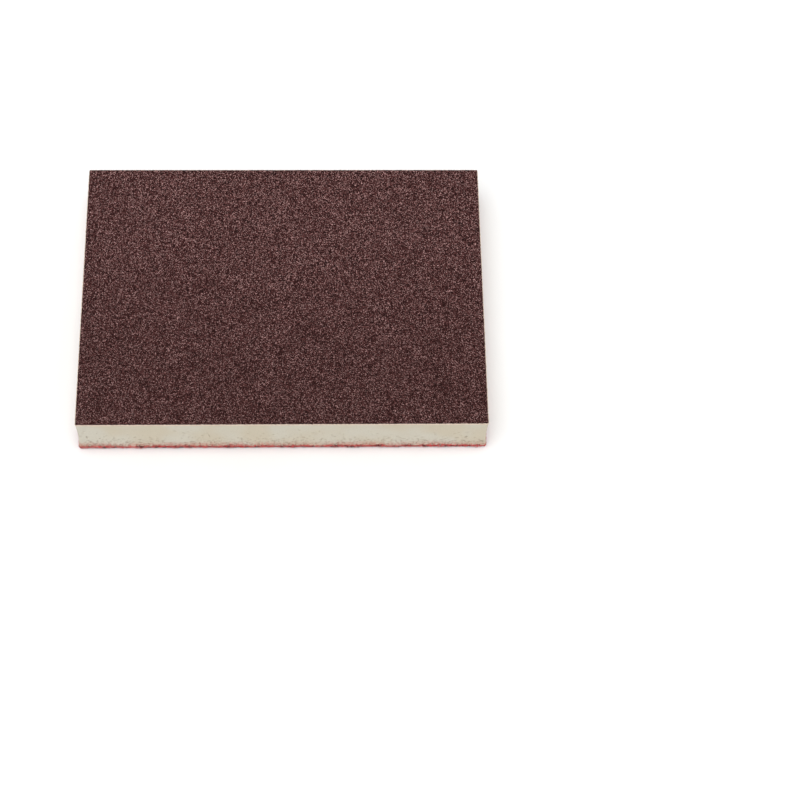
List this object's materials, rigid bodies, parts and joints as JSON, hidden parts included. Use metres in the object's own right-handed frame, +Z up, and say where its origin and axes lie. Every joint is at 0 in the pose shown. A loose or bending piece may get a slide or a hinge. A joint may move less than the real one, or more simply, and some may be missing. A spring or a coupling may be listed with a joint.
{
  "type": "foam sanding pad",
  "caption": "Rectangular hook-and-loop sanding pad: a brown coated abrasive sheet on a soft white foam slab, with a red loop cloth on the back.",
  "frame": {"origin": "centre of the loop face, on the surface that the pad rests on", "axes": "+X along the pad's long side, +Y along its short side, +Z up through the foam towards the abrasive face"},
  "size_m": [0.1016, 0.0762, 0.0124],
  "materials": {
    "loop_cloth": "matte",
    "glue": "satin",
    "foam": "matte",
    "latex": "matte",
    "resin": "satin",
    "grain": "matte"
  },
  "bodies": {
    "loop_side": {"loop_pile": "loop_cloth", "loop_ground_cloth": "loop_cloth", "loop_glue_film": "glue", "foam_core": "foam"},
    "abrasive_side": {"face_glue_film": "glue", "latex_backing": "latex", "make_coat": "resin", "grain_coat": "grain", "size_coat": "resin"}
  },
  "joints": [
    {"name": "foam_press", "type": "slide", "parent": "loop_side", "child": "abrasive_side", "axis": [0, 0, -1], "range_m": [0, 0.005], "stiffness_N_per_m": 1500, "deforming": ["foam_core"]}
  ]
}
